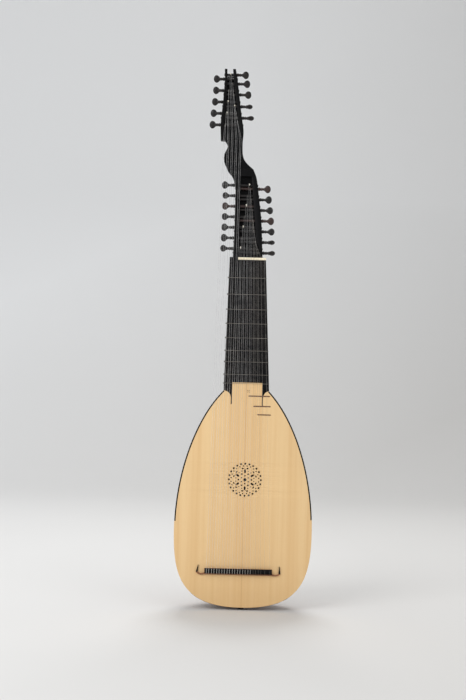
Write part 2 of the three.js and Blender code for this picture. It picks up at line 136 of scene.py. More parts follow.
def tube(path, radius, sides=8, loop=False):
    # a round rod along a path of points; radius is one number or one for each point
    path = [Vector(p) for p in path]
    radii = radius if isinstance(radius, (list, tuple)) else [radius] * len(path)
    rings, side, last = [], None, None
    for i, point in enumerate(path):
        before = path[i - 1] if i or loop else point
        after = path[(i + 1) % len(path)] if i + 1 < len(path) or loop else point
        along = (after - before).normalized()
        if side is None:
            side = along.orthogonal().normalized()
        else:
            side = last.rotation_difference(along) @ side
            side = (side - along * side.dot(along)).normalized()
        last = along
        up = along.cross(side)
        rings.append([point + (side * cos(t) + up * sin(t)) * radii[i] for t in around(sides)])
    return skin(rings, loop=loop)


def lathe(profile, segments, place):
    # profile is (radius, along) pairs; place turns (across, up, along) into a point
    turns = around(segments)
    return skin([[place(r * cos(t), r * sin(t), along) for t in turns] for r, along in profile])


def bend(a, b, c, steps):
    # a curve from a to c that heads for b
    a, b, c = Vector(a), Vector(b), Vector(c)
    return [a * (1 - t) ** 2 + b * 2 * t * (1 - t) + c * t * t for t in spread(0, 1, steps)]


def rounded(corners, reach, steps=4):
    # a path through corners, each cut back by reach and bent round
    corners = [Vector(c) for c in corners]
    path = [corners[0]]
    for before, corner, after in zip(corners, corners[1:], corners[2:]):
        back, on = before - corner, after - corner
        start = corner + back.normalized() * min(reach, back.length * 0.45)
        end = corner + on.normalized() * min(reach, on.length * 0.45)
        path += bend(start, corner, end, steps)
    path.append(corners[-1])
    return path


def bezier(a, b, c, d, steps):
    a, b, c, d = (Vector(p) for p in (a, b, c, d))
    points = []
    for t in spread(0, 1, steps):
        s = 1 - t
        points.append(a * s**3 + b * 3 * s * s * t + c * 3 * s * t * t + d * t**3)
    return points


def straight(pairs):
    def at(z):
        for (low, first), (high, last) in zip(pairs, pairs[1:]):
            if z <= high:
                break
        return first + (last - first) * min(max((z - low) / (high - low), 0), 1)

    return at


def through(pairs):
    # a smooth value along the lute through (height, value) pairs
    slopes = []
    for i in range(len(pairs)):
        low, high = pairs[max(i - 1, 0)], pairs[min(i + 1, len(pairs) - 1)]
        slopes.append((high[1] - low[1]) / (high[0] - low[0]))

    def at(z):
        z = min(max(z, pairs[0][0]), pairs[-1][0])
        i = 0
        while i < len(pairs) - 2 and z > pairs[i + 1][0]:
            i += 1
        (low, first), (high, last) = pairs[i], pairs[i + 1]
        span = high - low
        t = (z - low) / span
        ends = first * (2 * t**3 - 3 * t**2 + 1) + last * (3 * t**2 - 2 * t**3)
        bends = slopes[i] * (t**3 - 2 * t**2 + t) + slopes[i + 1] * (t**3 - t**2)
        return ends + span * bends

    return at


def bakedMesh(piece):
    depsgraph = bpy.context.evaluated_depsgraph_get()
    return bpy.data.meshes.new_from_object(piece.evaluated_get(depsgraph))


def evaluated(piece, sharpAngle=35):
    # bakes a piece's modifiers into its mesh
    mesh = bakedMesh(piece)
    piece.modifiers.clear()
    piece.data = mesh
    shade(mesh, sharpAngle)


def cut(piece, cutters):
    for cutter in cutters:
        boolean = piece.modifiers.new("cut", "BOOLEAN")
        boolean.operation = "DIFFERENCE"
        boolean.solver = "EXACT"
        boolean.object = cutter
    evaluated(piece)
    for cutter in cutters:
        bpy.data.objects.remove(cutter)


def soften(piece, width, segments=2, angle=40):
    bevel = piece.modifiers.new("soften", "BEVEL")
    bevel.width = width * mm
    bevel.segments = segments
    bevel.limit_method = "ANGLE"
    bevel.angle_limit = radians(angle)
    evaluated(piece)


def flatPiece(name, loops, front, back, softened=0.0):
    # a flat piece from closed outlines in (x, height); the first is the edge, the rest are holes
    curve = bpy.data.curves.new(name, "CURVE")
    curve.dimensions = "2D"
    curve.fill_mode = "BOTH"
    for loop in loops:
        spline = curve.splines.new("POLY")
        spline.points.add(len(loop) - 1)
        for point, (x, z) in zip(spline.points, loop):
            point.co = (x * mm, z * mm, 0, 1)
        spline.use_cyclic_u = True
    curve.extrude = (back - front) / 2 * mm
    flat = linked(name, curve)
    mesh = bakedMesh(flat)
    bpy.data.objects.remove(flat)
    stand = Matrix.Rotation(pi / 2, 4, "X")
    mesh.transform(Matrix.Translation(inRow((0, (front + back) / 2, 0))) @ stand)
    piece = linked(name, mesh)
    weld = piece.modifiers.new("weld", "WELD")
    weld.merge_threshold = 0.01 * mm
    evaluated(piece)
    if softened:
        soften(piece, softened)
    return piece


def settle(piece, look, slot, nodes=(), body="lute"):
    piece.data.materials.clear()
    piece.data.materials.append(looks[look])
    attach(piece, body)
    if nodes:
        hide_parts(*nodes)


# ---------- shader tools


def feed(tree, socket, value):
    if isinstance(value, bpy.types.NodeSocket):
        tree.links.new(value, socket)
    else:
        socket.default_value = value


def addNode(tree, kind, inputs=None, **settings):
    made = tree.nodes.new(kind)
    for name, value in settings.items():
        setattr(made, name, value)
    for name, value in (inputs or {}).items():
        feed(tree, made.inputs[name], value)
    return made


def calc(tree, operation, first, second=0.0, clamp=False):
    return addNode(
        tree, "ShaderNodeMath", {0: first, 1: second}, operation=operation, use_clamp=clamp
    ).outputs[0]


def times(tree, first, second):
    return calc(tree, "MULTIPLY", first, second)


def ranged(tree, value, fromLow, fromHigh, toLow=0.0, toHigh=1.0):
    inputs = {"Value": value, "From Min": fromLow, "From Max": fromHigh}
    inputs.update({"To Min": toLow, "To Max": toHigh})
    return addNode(tree, "ShaderNodeMapRange", inputs).outputs[0]


def blended(tree, share, first, second, mode="MIX"):
    mix = addNode(tree, "ShaderNodeMix", data_type="RGBA", blend_type=mode)
    for i, value in ((0, share), (6, first), (7, second)):
        feed(tree, mix.inputs[i], value)
    return mix.outputs[2]


def partsOf(tree, where):
    return addNode(tree, "ShaderNodeSeparateXYZ", {0: where}).outputs


def noise(tree, where, scale, detail=3.0, rough=0.5):
    inputs = {"Vector": where, "Scale": scale, "Detail": detail, "Roughness": rough}
    return addNode(tree, "ShaderNodeTexNoise", inputs).outputs[0]


def stretched(tree, where, x, y, z):
    inputs = {"Vector": where, "Scale": (x, y, z)}
    return addNode(tree, "ShaderNodeMapping", inputs).outputs[0]


def newGroup(name, inputs, outputs):
    group = bpy.data.node_groups.new(name, "ShaderNodeTree")
    for label, kind, value in inputs:
        socket = group.interface.new_socket(name=label, in_out="INPUT", socket_type=kind)
        if value is not None:
            socket.default_value = value
    for label, kind in outputs:
        group.interface.new_socket(name=label, in_out="OUTPUT", socket_type=kind)
    return group, addNode(group, "NodeGroupInput").outputs, addNode(group, "NodeGroupOutput").inputs


def makeGrainGroup():
    # growth lines square to X and short pores, both long in the direction of Z
    group, given, out = newGroup(
        "woodGrain",
        [
            ("Where", "NodeSocketVector", None),
            ("Line Width", "NodeSocketFloat", 0.0015),
            ("Waver", "NodeSocketFloat", 0.002),
            ("Pore Scale", "NodeSocketFloat", 900.0),
        ],
        [("Lines", "NodeSocketFloat"), ("Pores", "NodeSocketFloat"), ("Cloud", "NodeSocketFloat")],
    )
    parts = partsOf(group, given["Where"])
    slow = noise(group, stretched(group, given["Where"], 14, 14, 2.2), 1.0, 2.0)
    drift = times(group, calc(group, "SUBTRACT", slow, 0.5), given["Waver"])
    across = calc(group, "ADD", parts[0], drift)
    phase = times(group, calc(group, "DIVIDE", across, given["Line Width"]), fullTurn)
    wave = calc(group, "SINE", phase)
    group.links.new(ranged(group, wave, -0.2, 1.0), out["Lines"])
    fine = stretched(group, given["Where"], 1.0, 1.0, 0.04)
    pores = noise(group, fine, given["Pore Scale"], 2.0)
    group.links.new(ranged(group, pores, 0.55, 0.72), out["Pores"])
    cloud = noise(group, stretched(group, given["Where"], 40, 40, 5), 1.0, 3.0)
    group.links.new(cloud, out["Cloud"])
    return group


def makeHandlingGroup():
    # soft dull patches from hands, and hairline scratches
    group, given, out = newGroup(
        "handling",
        [("Where", "NodeSocketVector", None), ("Patch Scale", "NodeSocketFloat", 30.0)],
        [("Patches", "NodeSocketFloat"), ("Scratches", "NodeSocketFloat")],
    )
    patch = noise(group, given["Where"], given["Patch Scale"], 4.0)
    group.links.new(ranged(group, patch, 0.35, 0.7), out["Patches"])
    lines = noise(group, stretched(group, given["Where"], 3000, 400, 60), 1.0, 1.0)
    group.links.new(ranged(group, lines, 0.66, 0.72), out["Scratches"])
    return group


def makeWearGroup():
    # where edges stand out and get rubbed lighter
    group, given, out = newGroup(
        "edgeWear",
        [("Where", "NodeSocketVector", None), ("Amount", "NodeSocketFloat", 1.0)],
        [("Wear", "NodeSocketFloat")],
    )
    point = addNode(group, "ShaderNodeNewGeometry").outputs["Pointiness"]
    edge = ranged(group, point, 0.52, 0.62)
    patchy = ranged(group, noise(group, given["Where"], 180.0, 3.0), 0.35, 0.65)
    worn = calc(group, "MULTIPLY", times(group, edge, patchy), given["Amount"], True)
    group.links.new(worn, out["Wear"])
    return group


grainGroup = makeGrainGroup()
handlingGroup = makeHandlingGroup()
wearGroup = makeWearGroup()


def startMaterial(name, roughness, **constants):
    material = bpy.data.materials.new(name)
    material.use_nodes = True
    tree = material.node_tree
    shader = tree.nodes["Principled BSDF"]
    shader.inputs["Roughness"].default_value = roughness
    for label, value in constants.items():
        shader.inputs[label.replace("_", " ")].default_value = value
    where = addNode(tree, "ShaderNodeTexCoord").outputs["Object"]
    return material, tree, shader, where


def useGroup(tree, group, **inputs):
    made = addNode(tree, "ShaderNodeGroup")
    made.node_tree = group
    for label, value in inputs.items():
        feed(tree, made.inputs[label.replace("_", " ")], value)
    return made.outputs


def dress(tree, shader, base, rough):
    tree.links.new(base, shader.inputs["Base Color"])
    tree.links.new(rough, shader.inputs["Roughness"])


def addBump(tree, shader, height, distance, strength):
    inputs = {"Height": height, "Distance": distance, "Strength": strength}
    bump = addNode(tree, "ShaderNodeBump", inputs)
    tree.links.new(bump.outputs[0], shader.inputs["Normal"])


def colour(red, green, blue):
    return (red, green, blue, 1.0)


rose = {
    "centre": (1.8, 290.0),
    "reach": 41,
    # count, radius, width round the rose, length outwards, first angle, corners
    "holes": [
        (1, 0.0, 7.4, 7.4, 0.0, 18),
        (6, 8.9, 3.6, 3.2, 30.0, 8),
        (6, 14.6, 4.0, 4.0, 0.0, 14),
        (6, 19.0, 4.3, 8.0, 30.0, 20),
        (6, 20.7, 2.6, 2.6, -10.0, 10),
        (6, 20.7, 2.6, 2.6, 10.0, 10),
        (6, 26.0, 4.8, 3.3, 17.5, 12),
        (6, 26.0, 4.8, 3.3, 42.5, 12),
        (24, 31.5, 3.0, 3.0, 7.5, 10),
        (24, 36.2, 4.9, 4.3, 0.0, 12),
    ],
}

# Spruce: two halves of one board, mirrored at the centre joint, fine lines there and wide at the edge.
spruce = {
    "pale": colour(0.83, 0.585, 0.305),
    "line": colour(0.66, 0.40, 0.17),
    "warm": colour(0.72, 0.45, 0.20),
    "seam": colour(0.50, 0.27, 0.11),
    # cut: near black, painted shade for the walls of the rose's holes
    "cut": colour(0.06, 0.035, 0.018),
    "jointAt": 0.1 * mm,
    "lineWidth": 1.15 * mm,
}


def paintedHoleShadeMask(tree, parts, where):
    # the walls of the rose's holes, made near black: painted shade inside the holes, on the faces that turn
    # sideways
    middle = inRow((rose["centre"][0], 0, rose["centre"][1]))
    across = calc(tree, "SUBTRACT", parts[0], middle.x)
    up = calc(tree, "SUBTRACT", parts[2], middle.z)
    squares = calc(tree, "ADD", times(tree, across, across), times(tree, up, up))
    inside = calc(tree, "LESS_THAN", squares, (rose["reach"] * mm) ** 2)
    facing = addNode(tree, "ShaderNodeTexCoord").outputs["Normal"]
    forward = calc(tree, "ABSOLUTE", partsOf(tree, facing)[1])
    return times(tree, inside, ranged(tree, forward, 0.3, 0.6, 1.0, 0.0))


def makeSpruce():
    material, tree, shader, where = startMaterial("spruce", 0.5, Specular_IOR_Level=0.35)
    parts = partsOf(tree, where)
    away = calc(tree, "ABSOLUTE", calc(tree, "SUBTRACT", parts[0], spruce["jointAt"]))
    widened = calc(tree, "POWER", times(tree, away, 8.0), 0.86)
    mirrored = addNode(
        tree,
        "ShaderNodeCombineXYZ",
        {0: times(tree, widened, 0.11), 1: parts[1], 2: parts[2]},
    ).outputs[0]
    grain = useGroup(
        tree,
        grainGroup,
        Where=mirrored,
        Line_Width=spruce["lineWidth"],
        Waver=2.6 * mm,
        Pore_Scale=700.0,
    )
    broad = noise(tree, stretched(tree, mirrored, 90, 1, 1.1), 1.0, 4.0, 0.6)
    band = ranged(tree, broad, 0.34, 0.66)
    lines = times(tree, grain["Lines"], ranged(tree, broad, 0.3, 0.7, 0.15, 0.75))
    base = blended(tree, times(tree, band, 0.5), spruce["pale"], spruce["warm"])
    base = blended(tree, times(tree, lines, 0.55), base, spruce["line"])
    fleck = noise(tree, stretched(tree, where, 150, 150, 420), 1.0, 2.0)
    base = blended(tree, ranged(tree, fleck, 0.62, 0.8, 0, 0.18), base, colour(0.93, 0.74, 0.47))
    joint = ranged(tree, away, 0.25 * mm, 0.9 * mm, 0.75, 0.0)
    base = blended(tree, joint, base, spruce["seam"])
    nearJoint = ranged(tree, away, 1 * mm, 11 * mm, 0.38, 0.0)
    base = blended(tree, nearJoint, base, spruce["warm"])
    # painted shade: the board darker and warmer towards its bottom
    low = ranged(tree, parts[2], 0.03, 0.26, 0.22, 0.0)
    base = blended(tree, low, base, spruce["warm"])
    # painted shade: the walls of the rose's holes go near black
    base = blended(tree, paintedHoleShadeMask(tree, parts, where), base, spruce["cut"])
    dress(tree, shader, base, ranged(tree, grain["Lines"], 0.0, 1.0, 0.54, 0.44))
    height = calc(tree, "ADD", grain["Lines"], times(tree, grain["Pores"], -0.5))
    addBump(tree, shader, height, 0.05 * mm, 0.6)
    return material


def makeEbony(name, body, streak, roughness, shine=0.5):
    material, tree, shader, where = startMaterial(name, roughness, Specular_IOR_Level=shine)
    grain = useGroup(
        tree, grainGroup, Where=where, Line_Width=2.2 * mm, Waver=9 * mm, Pore_Scale=1500.0
    )
    hands = useGroup(tree, handlingGroup, Where=where, Patch_Scale=45.0)
    wear = useGroup(tree, wearGroup, Where=where, Amount=0.5)
    streaks = times(tree, grain["Lines"], ranged(tree, grain["Cloud"], 0.5, 0.7))
    base = blended(tree, times(tree, streaks, 0.7), body, streak)
    base = blended(tree, times(tree, grain["Pores"], 0.6), base, colour(0, 0, 0))
    base = blended(tree, wear["Wear"], base, colour(0.045, 0.038, 0.034))
    rough = ranged(tree, hands["Patches"], 0.0, 1.0, roughness - 0.06, roughness + 0.08)
    dress(tree, shader, base, calc(tree, "ADD", rough, times(tree, hands["Scratches"], 0.12)))
    height = times(tree, grain["Pores"], -1.0)
    addBump(tree, shader, height, 0.04 * mm, 0.7)
    return material


def makeHardwood(name, pale, dark, roughness, lineWidth, figure=0.0, coat=0.0):
    # figure is the strength of the ripple across the grain
    material, tree, shader, where = startMaterial(
        name, roughness, Coat_Weight=coat, Coat_Roughness=0.12
    )
    grain = useGroup(
        tree, grainGroup, Where=where, Line_Width=lineWidth, Waver=7 * mm, Pore_Scale=1100.0
    )
    base = blended(tree, times(tree, grain["Lines"], 0.5), pale, dark)
    base = blended(tree, ranged(tree, grain["Cloud"], 0.35, 0.7, 0, 0.6), base, dark)
    if figure:
        ripple = noise(tree, stretched(tree, where, 22, 22, 190), 1.0, 2.0)
        base = blended(tree, ranged(tree, ripple, 0.42, 0.62, 0, figure), base, pale, "SCREEN")
    deep = tuple(c * 0.35 for c in dark[:3]) + (1.0,)
    base = blended(tree, times(tree, grain["Pores"], 0.55), base, deep)
    hands = useGroup(tree, handlingGroup, Where=where, Patch_Scale=25.0)
    dress(tree, shader, base, ranged(tree, hands["Patches"], 0.0, 1.0, roughness - 0.05, roughness + 0.07))
    addBump(tree, shader, times(tree, grain["Pores"], -1.0), 0.05 * mm, 0.6)
    return material


def makeBone():
    material, tree, shader, where = startMaterial("bone", 0.34, Specular_IOR_Level=0.5)
    vein = noise(tree, stretched(tree, where, 60, 400, 400), 1.0, 4.0, 0.6)
    base = blended(
        tree, ranged(tree, vein, 0.4, 0.75), colour(0.95, 0.86, 0.66), colour(0.82, 0.70, 0.48)
    )
    speck = noise(tree, where, 2600.0, 1.0)
    base = blended(tree, ranged(tree, speck, 0.68, 0.78, 0, 0.6), base, colour(0.42, 0.31, 0.18))
    dress(tree, shader, base, ranged(tree, vein, 0.3, 0.7, 0.28, 0.42))
    addBump(tree, shader, speck, 0.02 * mm, 0.5)
    return material


def makeGut(name, pale, deep, roughness, clear=1.0):
    # twisted gut: faint slanting ridges and a little random colour drift; painted light makes it paler low
    # down, where the strings cross the bright soundboard, and greyer up the neck; below 1, clear lets light
    # through
    material, tree, shader, where = startMaterial(name, roughness, Specular_IOR_Level=0.3, Alpha=clear)
    drift = noise(tree, stretched(tree, where, 30, 30, 90), 1.0, 2.0)
    up = partsOf(tree, where)[2]
    # random drift, growing with height: painted light from the bright soundboard below, greyer strings above
    driftAndBoardLight = times(tree, ranged(tree, up, 0.42, 0.56, 0.25, 1.0), ranged(tree, drift, 0.2, 0.7))
    base = blended(tree, driftAndBoardLight, pale, deep)
    twist = noise(tree, stretched(tree, where, 2500, 2500, 900), 1.0, 1.0)
    dress(tree, shader, base, ranged(tree, twist, 0.3, 0.7, roughness - 0.06, roughness + 0.08))
    addBump(tree, shader, twist, 0.03 * mm, 0.5)
    return material


def makeSteel():
    material, tree, shader, where = startMaterial("screwSteel", 0.35, Metallic=1.0)
    rings = noise(tree, stretched(tree, where, 300, 300, 2500), 1.0, 2.0)
    base = blended(tree, rings, colour(0.42, 0.42, 0.43), colour(0.56, 0.55, 0.53))
    dress(tree, shader, base, ranged(tree, rings, 0.3, 0.7, 0.28, 0.45))
    return material


looks = {
    "spruce": makeSpruce(),
    "ebony": makeEbony("ebony", colour(0.003, 0.003, 0.0036), colour(0.009, 0.0075, 0.007), 0.42, 0.1),
    "pegEbony": makeEbony(
        "pegEbony", colour(0.007, 0.006, 0.006), colour(0.028, 0.013, 0.010), 0.3, 0.4
    ),
    "ribs": makeHardwood(
        "ribWood", colour(0.30, 0.13, 0.05), colour(0.12, 0.045, 0.018), 0.3, 3 * mm, 0.45, 0.6
    ),
    "spacer": makeHardwood(
        "spacerMaple", colour(0.72, 0.55, 0.34), colour(0.55, 0.38, 0.2), 0.35, 2 * mm, 0.0, 0.5
    ),
    "bridgeWood": makeHardwood(
        "bridgeWood", colour(0.36, 0.155, 0.065), colour(0.20, 0.08, 0.035), 0.42, 1.4 * mm
    ),
    "fretWood": makeHardwood(
        "fretWood", colour(0.16, 0.075, 0.04), colour(0.07, 0.03, 0.018), 0.45, 1.2 * mm
    ),
    "redPeg": makeHardwood(
        "redPeg", colour(0.040, 0.016, 0.012), colour(0.014, 0.008, 0.007), 0.3, 1.2 * mm
    ),
    # roseShade: a dark wood colour used as painted shade in the rose's slits
    "roseShade": makeHardwood(
        "roseShade", colour(0.16, 0.09, 0.04), colour(0.08, 0.045, 0.02), 0.8, 1.0 * mm
    ),
    "softwood": makeHardwood(
        "innerSpruce", colour(0.74, 0.56, 0.33), colour(0.60, 0.40, 0.20), 0.65, 2 * mm
    ),
    "bone": makeBone(),
    "fretGut": makeGut("fretGut", colour(0.20, 0.185, 0.16), colour(0.14, 0.12, 0.10), 0.45),
    "trebleGut": makeGut("trebleGut", colour(0.80, 0.76, 0.68), colour(0.38, 0.37, 0.375), 0.4, 0.45),
    "bassGut": makeGut("bassGut", colour(0.96, 0.95, 0.93), colour(0.41, 0.41, 0.42), 0.42, 0.5),
    # a darker copy of the gut for the windings: painted shade for strings wound deep in the pegboxes
    "windingShadeGut": makeGut("windingShadeGut", colour(0.10, 0.09, 0.075), colour(0.06, 0.052, 0.042), 0.4),
    "paleEnd": makeGut("paleEnd", colour(0.86, 0.83, 0.76), colour(0.74, 0.69, 0.58), 0.45),
    "steel": makeSteel(),
}
print("materials made")

# ---------- the body

body = {
    "widest": 156.3,
    "widestAt": 175.8,
    "neckFoot": 491.5,
    "footHalf": 51.6,
    "boardThick": 1.8,
    "behindBoard": 2.1,
    "ribs": 11,
    "ribThick": 2.0,
    # half a joint and half a spacer, as angles round the bowl
    "ribGap": 0.0022,
    "spacerHalf": 0.0034,
}
# where the soundboard runs up into the fingerboard
tongue = {"bass": -32.3, "treble": 35.8, "top": 510.0}
bowlRatio = through([(-5, 0.96), (200, 0.95), (400, 0.8), (491.5, 0.64), (510, 0.62)])


def bodyEdge(steps, inset=0.0, curves=(0, 1)):
    # the treble half of the outline as (half width, height), moved in square to the edge
    wide, high, foot, half = body["widest"], body["widestAt"], body["neckFoot"], body["footHalf"]
    lower = bezier((0, 0), (138.7, 0), (wide, 70.4), (wide, high), steps)
    upper = bezier((wide, high), (wide, 298.6), (114.8, 426.5), (half, foot), steps)
    line = []
    for i, part in enumerate((lower, upper)):
        if i in curves:
            line.extend(part[1:] if line else part)
    edge = []
    for i, point in enumerate(line):
        along = (line[min(i + 1, len(line) - 1)] - line[max(i - 1, 0)]).normalized()
        edge.append((point.x - along.y * inset, point.y + along.x * inset))
    return edge


def bowlPoint(width, height, angle):
    out = width * bowlRatio(height) * sin(angle)
    return (width * cos(angle), max(out, body["behindBoard"]), height)


def ribStrip(name, first, last, across, outInset, inInset):
    # one bent strip of the bowl between two angles, closed all round
    outer, inner = bodyEdge(34, outInset), bodyEdge(34, inInset)
    rings = []
    for (w, z), (wIn, zIn) in zip(outer, inner):
        w, wIn = max(w, 0.3), max(wIn, 0.15)
        ring = []
        for wide, high, order in ((w, z, 1), (wIn, zIn, -1)):
            ends = [Vector(bowlPoint(wide, high, a)) for a in (first, last)]
            for k in range(across + 1)[::order]:
                t = k / across
                ring.append(ends[0].lerp(ends[1], t))
        rings.append(ring)
    return makeMesh(name, *skin(rings), sharpAngle=30)


def makeBowl():
    step = pi / body["ribs"]
    for i in range(body["ribs"]):
        first, last = i * step + body["ribGap"], (i + 1) * step - body["ribGap"]
        rib = ribStrip(f"rib_{i + 1}", first, last, 4, 0.12, body["ribThick"])
        settle(rib, "ribs", "rib_wood", ("bowl",))
    for i in range(1, body["ribs"]):
        first, last = i * step - body["spacerHalf"], i * step + body["spacerHalf"]
        spacer = ribStrip(f"rib_spacer_{i}", first, last, 2, 0.14, 2.4)
        settle(spacer, "spacer", "rib_wood", ("bowl",))


def onRose(radius, degrees):
    turn = radians(degrees)
    x, z = rose["centre"]
    return (x + radius * cos(turn), z + radius * sin(turn))


def roseHoles():
    loops = []
    for count, radius, wide, long, start, corners in rose["holes"]:
        for i in range(count):
            degrees = start + 360 * i / count
            turn = radians(degrees)
            x, z = onRose(radius, degrees)
            loop = []
            for k in range(corners):
                t = fullTurn * k / corners
                out, side = cos(t), sin(t)
                if corners == 20:  # a slot has straight sides
                    out = math.copysign(abs(out) ** 0.6, out)
                    side = math.copysign(abs(side) ** 0.6, side)
                out, side = out * long / 2, side * wide / 2
                loop.append(
                    (
                        x + out * cos(turn) - side * sin(turn),
                        z + out * sin(turn) + side * cos(turn),
                    )
                )
            loops.append(loop)
    return loops


def roseLine(first, second, depth, radius):
    # a short rod between two (radius, degrees) places
    ends = [onRose(*first), onRose(*second)]
    return tube([(x, depth, z) for x, z in ends], radius, 6)


def roseStrands():
    # raised lines left by the carver between the rings of holes
    parts, proud = [], 0.12

    def ring(radius, wave, waves, shift, thick):
        count = max(72, waves * 10)
        path = []
        for k in range(count):
            degrees = 360 * k / count
            lift = wave * cos(radians(waves * (degrees - shift)))
            x, z = onRose(radius + lift, degrees)
            path.append((x, proud, z))
        parts.append(tube(path, thick, 6, loop=True))

    ring(39.4, 0, 0, 0, 0.45)
    ring(33.7, 0.5, 24, 0, 0.2)
    ring(29.0, 0.3, 12, 0, 0.24)
    ring(11.6, 0.7, 6, 30, 0.36)
    ring(5.4, 0, 0, 0, 0.36)
    for k in range(6):
        for side in (-1, 1):
            parts.append(roseLine((23.4, 60 * k + side * 6), (28.4, 60 * k + side * 2), proud, 0.34))
            parts.append(roseLine((17.2, 60 * k + side * 9), (12.2, 60 * k + side * 16), proud, 0.34))
    return parts


def roseSlits():
    # fine cuts from each slot's outer end to the two holes beside it, drawn as dark rods at the face:
    # painted shade for the cuts
    parts = []
    for k in range(6):
        middle = 30 + 60 * k
        for side in (-1, 1):
            parts.append(roseLine((23.5, middle + side * 1.2), (25.3, middle + side * 8.5), 0.05, 0.42))
    return parts


def makeSoundboard():
    edge = bodyEdge(40)
    left, right, foot, top = tongue["bass"], tongue["treble"], body["neckFoot"], tongue["top"]
    corners = [(right, foot), (right, top), (left, top), (left, foot)]
    outline = edge + corners + [(-x, z) for x, z in reversed(edge[1:])]
    panel = flatPiece("soundboard_top", [outline, *roseHoles()], 0.0, body["boardThick"], 0.16)
    settle(panel, "spruce", "spruce", ("soundboard",))
    strands = makeMesh("rose_strands", *joined(roseStrands()))
    settle(strands, "spruce", "spruce")
    slits = makeMesh("rose_slits", *joined(roseSlits()))
    # the slits' dark rods are painted shade
    settle(slits, "roseShade", "spruce")


# the front of the ebony let into the soundboard
proudBy = -0.08


def bandOutline(side, low, wide):
    inner = [p for p in bodyEdge(48, wide, (1,)) if p[1] > low]
    outer = [p for p in bodyEdge(48, 0.0, (1,)) if p[1] > low]
    band = [(inner[0][0], low), *inner, *reversed(outer), (outer[0][0], low)]
    return [(side * x, z) for x, z in band]


def makeEdgings():
    for name, side, low in (("edging_bass", -1, 193), ("edging_treble", 1, 202)):
        strip = flatPiece(f"{name}_strip", [bandOutline(side, low, 3.0)], proudBy, 0.9, 0.12)
        settle(strip, "ebony", "ebony", (name,))


def makeStrapButton():
    low, high = drawnBox("strap_button")
    depth = (low.y + high.y) / 2
    profile = [
        (0.2, 10), (2.9, 10), (3, 9.4), (3, -1.6), (4.6, -1.8), (5.1, -2.2), (5.1, -2.7), (4.4, -3.1),
        (3.9, -3.6), (4.2, -4.0), (5.9, -4.4), (6.6, -5.0), (6.75, -5.5), (6.5, -6.1), (5.6, -6.5),
        (1.2, -6.5), (0.8, -6.2), (0.1, -6.2),
    ]
    knob = makeMesh(
        "strap_knob", *lathe(profile, 40, lambda x, y, along: (x, depth + y, along)), sharpAngle=50
    )
    settle(knob, "pegEbony", "ebony", ("strap_button",))


# ---------- the neck

# each pair is a measure at the body and at the nut
neck = {
    "left": (-body["footHalf"], -44.9), "right": (body["footHalf"], 36.9), "back": (33.0, 26.5),
    "foot": body["neckFoot"], "end": 794.0,
}
neckLeft, neckRight, neckBack = (
    straight([(neck["foot"], neck[k][0]), (neck["end"], neck[k][1])]) for k in ("left", "right", "back")
)


def makeNeck():
    rings = []
    front = body["behindBoard"]
    for z in spread(neck["foot"] + 0.3, neck["end"], 30):
        left, right, back = neckLeft(z), neckRight(z), neckBack(z)
        middle, half = (left + right) / 2, (right - left) / 2
        ring = []
        for j in range(33):
            turn = pi * (1 - j / 32)
            ring.append((middle + half * cos(turn), front + (back - front) * sin(turn), z))
        rings.append(ring)
    stick = makeMesh("neck_stick", *skin(rings), sharpAngle=50)
    settle(stick, "ebony", "ebony", ("neck",))


def fingerboardOutline():
    bassTip, trebleTip = -34.7, 38.2
    foot, nutFront = neck["foot"], 788.0
    left, right, top = tongue["bass"], tongue["treble"], tongue["top"]
    return [
        *bend((-body["footHalf"], foot), (bassTip - 1.8, 490), (bassTip, 476), 10),
        (bassTip, 461), (bassTip + 1.2, 460), (left, 461), (left, top), (right, top), (right, 457),
        (trebleTip - 1.2, 456), (trebleTip, 457),
        *bend((trebleTip, 476), (trebleTip + 1.8, 490), (body["footHalf"], foot), 10),
        (neckRight(nutFront), nutFront - 0.2), (-25.9, nutFront - 0.2), (-25.9, neck["end"]),
        (neckLeft(neck["end"]), neck["end"]),
    ]


def makeFingerboard():
    top = flatPiece("fingerboard_top", [fingerboardOutline()], proudBy, body["boardThick"] + 0.1, 0.2)
    settle(top, "ebony", "ebony", ("fingerboard",))


def makeBodyFrets():
    for step in (10, 11, 12):
        node = f"body_fret_{step}"
        low, high = drawnBox(node)
        middle, half = (low.z + high.z) / 2, (high.z - low.z) / 2
        rings = []
        for k in range(25):
            t = k / 24
            x = low.x + (high.x - low.x) * t
            end = min(1.0, sin(pi * min(max(t, 0.004), 0.996)) * 9) ** 0.5
            ring = []
            for turn in spread(0, pi, 8):
                rise = low.y * end * sin(turn) ** 0.8
                ring.append((x, min(rise, 0.0), middle - half * end * cos(turn)))
            rings.append(ring)
        bar = makeMesh(f"{node}_bar", *skin(rings), sharpAngle=50)
        settle(bar, "fretWood", "fret_wood", (node,))


# the gap leaves room for the neck to widen as a fret slides towards the body
tiedFret = {"gap": 0.32, "thick": 1.05, "thinner": 0.03}


